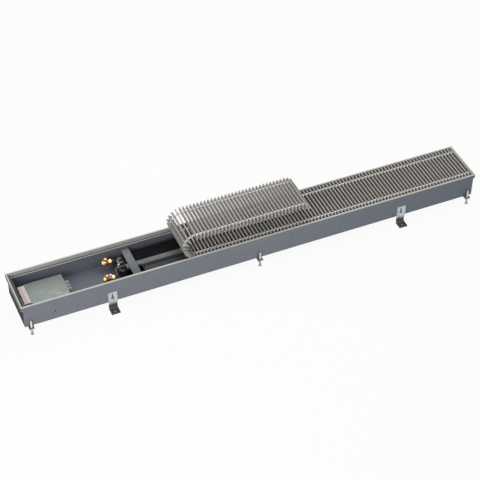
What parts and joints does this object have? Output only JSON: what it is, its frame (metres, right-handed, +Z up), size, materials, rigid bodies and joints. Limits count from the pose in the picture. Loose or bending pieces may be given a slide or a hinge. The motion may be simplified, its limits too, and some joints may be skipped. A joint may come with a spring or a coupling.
{
  "type": "trench convector heater",
  "caption": "Long steel floor-trench heater on feet: roll-up bar grille folded back from one end over finned heat exchanger, cross-flow fan, valves and control box",
  "frame": {"origin": "on the floor under the middle of the trench, between the rubber pads and screw feet", "axes": "+X along the trench away from the pipe and cable end, -Y the side of the fan, +Y the side of the exchanger, +Z up"},
  "size_m": [2.1, 0.291, 0.2546],
  "materials": {
    "inner_sheet": "satin",
    "wall_sheet": "satin",
    "end_sheet": "satin",
    "frame_aluminium": "anodised",
    "ledge_sheet": "satin",
    "damping_rubber": "matt",
    "rivet_steel": "satin",
    "brace_sheet": "galvanised",
    "black_fins": "matt",
    "copper": "dull copper",
    "zinc_sheet": "galvanised",
    "black_tube": "satin",
    "pipe": "satin",
    "brass": "cast",
    "brass_nut": "machined",
    "brass_cap": "machined",
    "nickel": "nickel plated",
    "nickel_screw": "nickel plated",
    "fan_sheet": "matt",
    "guard_mesh": "matt",
    "wheel": "plain",
    "shaft_steel": "ground",
    "motor_case": "cast",
    "bearing_rubber": "matt",
    "box_sheet": "galvanised",
    "cover_sheet": "galvanised",
    "screw_steel": "zinc plated",
    "board": "laminate",
    "gland_plastic": "satin",
    "terminal_plastic": "moulded",
    "bar_aluminium": "anodised",
    "link_sleeve": "satin",
    "bracket_zinc": "zinc plated",
    "bolt_steel": "zinc plated",
    "pad_rubber": "matt",
    "lug_steel": "satin",
    "screw_zinc": "zinc plated"
  },
  "bodies": {
    "trench": {"floor_pan": "inner_sheet", "front_wall": "wall_sheet", "rear_wall": "wall_sheet", "left_end_plate": "end_sheet", "right_end_plate": "end_sheet", "frame_sides": "frame_aluminium", "frame_ends": "frame_aluminium", "grille_ledges": "ledge_sheet", "damping_strips": "damping_rubber", "wall_rivets": "rivet_steel", "cross_braces": "brace_sheet", "centre_rail": "brace_sheet", "exchanger_fins": "black_fins", "exchanger_tubes": "copper", "exchanger_end_plates": "zinc_sheet", "return_bends": "black_tube", "supply_pipe": "pipe", "return_pipe": "pipe", "supply_valve": "brass", "return_valve": "brass", "union_nuts": "brass_nut", "vent_seats": "nickel", "fan_housing": "fan_sheet", "fan_guard": "guard_mesh", "fan_motor": "motor_case", "fan_bearings": "bearing_rubber", "control_box": "box_sheet", "control_cover": "cover_sheet", "cover_screws": "screw_steel", "control_board": "board", "cable_glands": "gland_plastic", "terminal_block": "terminal_plastic", "floor_brackets": "bracket_zinc", "bracket_bolts": "bolt_steel", "bracket_pads": "pad_rubber", "screw_lugs": "lug_steel"},
    "laid_grille": {"laid_bars": "bar_aluminium", "laid_links": "link_sleeve"},
    "flap": {"flap_bars": "bar_aluminium", "flap_links": "link_sleeve"},
    "fan_rotor": {"fan_wheels": "wheel", "fan_shaft": "shaft_steel"},
    "supply_cap": {"supply_valve_cap": "brass_cap"},
    "return_cap": {"return_valve_cap": "brass_cap"},
    "vent_pin": {"vent_screw": "nickel_screw"},
    "fold_1": {"fold_bar_1": "bar_aluminium"},
    "fold_2": {"fold_bar_2": "bar_aluminium"},
    "fold_3": {"fold_bar_3": "bar_aluminium"},
    "fold_4": {"fold_bar_4": "bar_aluminium"},
    "fold_5": {"fold_bar_5": "bar_aluminium"},
    "fold_6": {"fold_bar_6": "bar_aluminium"},
    "fold_7": {"fold_bar_7": "bar_aluminium"},
    "fold_8": {"fold_bar_8": "bar_aluminium"},
    "leveller_1": {"levelling_screw_1": "screw_zinc"},
    "leveller_2": {"levelling_screw_2": "screw_zinc"},
    "leveller_3": {"levelling_screw_3": "screw_zinc"},
    "leveller_4": {"levelling_screw_4": "screw_zinc"},
    "leveller_5": {"levelling_screw_5": "screw_zinc"},
    "leveller_6": {"levelling_screw_6": "screw_zinc"}
  },
  "joints": [
    {"name": "grille_lift", "type": "slide", "parent": "trench", "child": "laid_grille", "axis": [0, 0, 1], "range_m": [0, 0.2]},
    {"name": "flap_lift", "type": "hinge", "parent": "laid_grille", "child": "flap", "pos_m": [-0.2802, 0, 0.1943], "axis": [0, -1, 0], "range_deg": [-7, 9]},
    {"name": "fold_turn_1", "type": "hinge", "parent": "laid_grille", "child": "fold_1", "pos_m": [-0.2802, 0, 0.1943], "axis": [0, -1, 0], "range_deg": [-0.79, 1.01]},
    {"name": "fold_turn_2", "type": "hinge", "parent": "laid_grille", "child": "fold_2", "pos_m": [-0.2802, 0, 0.1943], "axis": [0, -1, 0], "range_deg": [-1.57, 2.01]},
    {"name": "fold_turn_3", "type": "hinge", "parent": "laid_grille", "child": "fold_3", "pos_m": [-0.2802, 0, 0.1943], "axis": [0, -1, 0], "range_deg": [-2.34, 3.01]},
    {"name": "fold_turn_4", "type": "hinge", "parent": "laid_grille", "child": "fold_4", "pos_m": [-0.2802, 0, 0.1943], "axis": [0, -1, 0], "range_deg": [-3.12, 4.01]},
    {"name": "fold_turn_5", "type": "hinge", "parent": "laid_grille", "child": "fold_5", "pos_m": [-0.2802, 0, 0.1943], "axis": [0, -1, 0], "range_deg": [-3.9, 5.01]},
    {"name": "fold_turn_6", "type": "hinge", "parent": "laid_grille", "child": "fold_6", "pos_m": [-0.2802, 0, 0.1943], "axis": [0, -1, 0], "range_deg": [-4.68, 6.01]},
    {"name": "fold_turn_7", "type": "hinge", "parent": "laid_grille", "child": "fold_7", "pos_m": [-0.2802, 0, 0.1943], "axis": [0, -1, 0], "range_deg": [-5.45, 7.01]},
    {"name": "fold_turn_8", "type": "hinge", "parent": "laid_grille", "child": "fold_8", "pos_m": [-0.2802, 0, 0.1943], "axis": [0, -1, 0], "range_deg": [-6.23, 8.01]},
    {"name": "fan_spin", "type": "hinge", "parent": "trench", "child": "fan_rotor", "pos_m": [0, -0.0495, 0.0725], "axis": [1, 0, 0], "continuous": true},
    {"name": "supply_cap_turn", "type": "hinge", "parent": "trench", "child": "supply_cap", "pos_m": [-0.63, 0.0695, 0.106], "axis": [0, 0, 1], "range_deg": [0, 540]},
    {"name": "return_cap_turn", "type": "hinge", "parent": "trench", "child": "return_cap", "pos_m": [-0.652, -0.0125, 0.091], "axis": [0, 0, 1], "range_deg": [0, 540]},
    {"name": "vent_screw_turn", "type": "hinge", "parent": "trench", "child": "vent_pin", "pos_m": [-0.588, 0.0215, 0.1013], "axis": [0, 0, 1], "range_deg": [0, 180]},
    {"name": "levelling_turn_1", "type": "hinge", "parent": "trench", "child": "leveller_1", "pos_m": [-1.017, -0.1165, 0.0385], "axis": [0, 0, 1], "continuous": true},
    {"name": "levelling_turn_2", "type": "hinge", "parent": "trench", "child": "leveller_2", "pos_m": [0, -0.1165, 0.0385], "axis": [0, 0, 1], "continuous": true},
    {"name": "levelling_turn_3", "type": "hinge", "parent": "trench", "child": "leveller_3", "pos_m": [1.017, -0.1165, 0.0385], "axis": [0, 0, 1], "continuous": true},
    {"name": "levelling_turn_4", "type": "hinge", "parent": "trench", "child": "leveller_4", "pos_m": [-1.017, 0.1165, 0.0385], "axis": [0, 0, 1], "continuous": true},
    {"name": "levelling_turn_5", "type": "hinge", "parent": "trench", "child": "leveller_5", "pos_m": [0, 0.1165, 0.0385], "axis": [0, 0, 1], "continuous": true},
    {"name": "levelling_turn_6", "type": "hinge", "parent": "trench", "child": "leveller_6", "pos_m": [1.017, 0.1165, 0.0385], "axis": [0, 0, 1], "continuous": true}
  ],
  "couplings": [
    {"joint": "fold_turn_1", "follows": "flap_lift", "ratio": 0.11111},
    {"joint": "fold_turn_2", "follows": "flap_lift", "ratio": 0.22222},
    {"joint": "fold_turn_3", "follows": "flap_lift", "ratio": 0.33333},
    {"joint": "fold_turn_4", "follows": "flap_lift", "ratio": 0.44444},
    {"joint": "fold_turn_5", "follows": "flap_lift", "ratio": 0.55556},
    {"joint": "fold_turn_6", "follows": "flap_lift", "ratio": 0.66667},
    {"joint": "fold_turn_7", "follows": "flap_lift", "ratio": 0.77778},
    {"joint": "fold_turn_8", "follows": "flap_lift", "ratio": 0.88889}
  ]
}
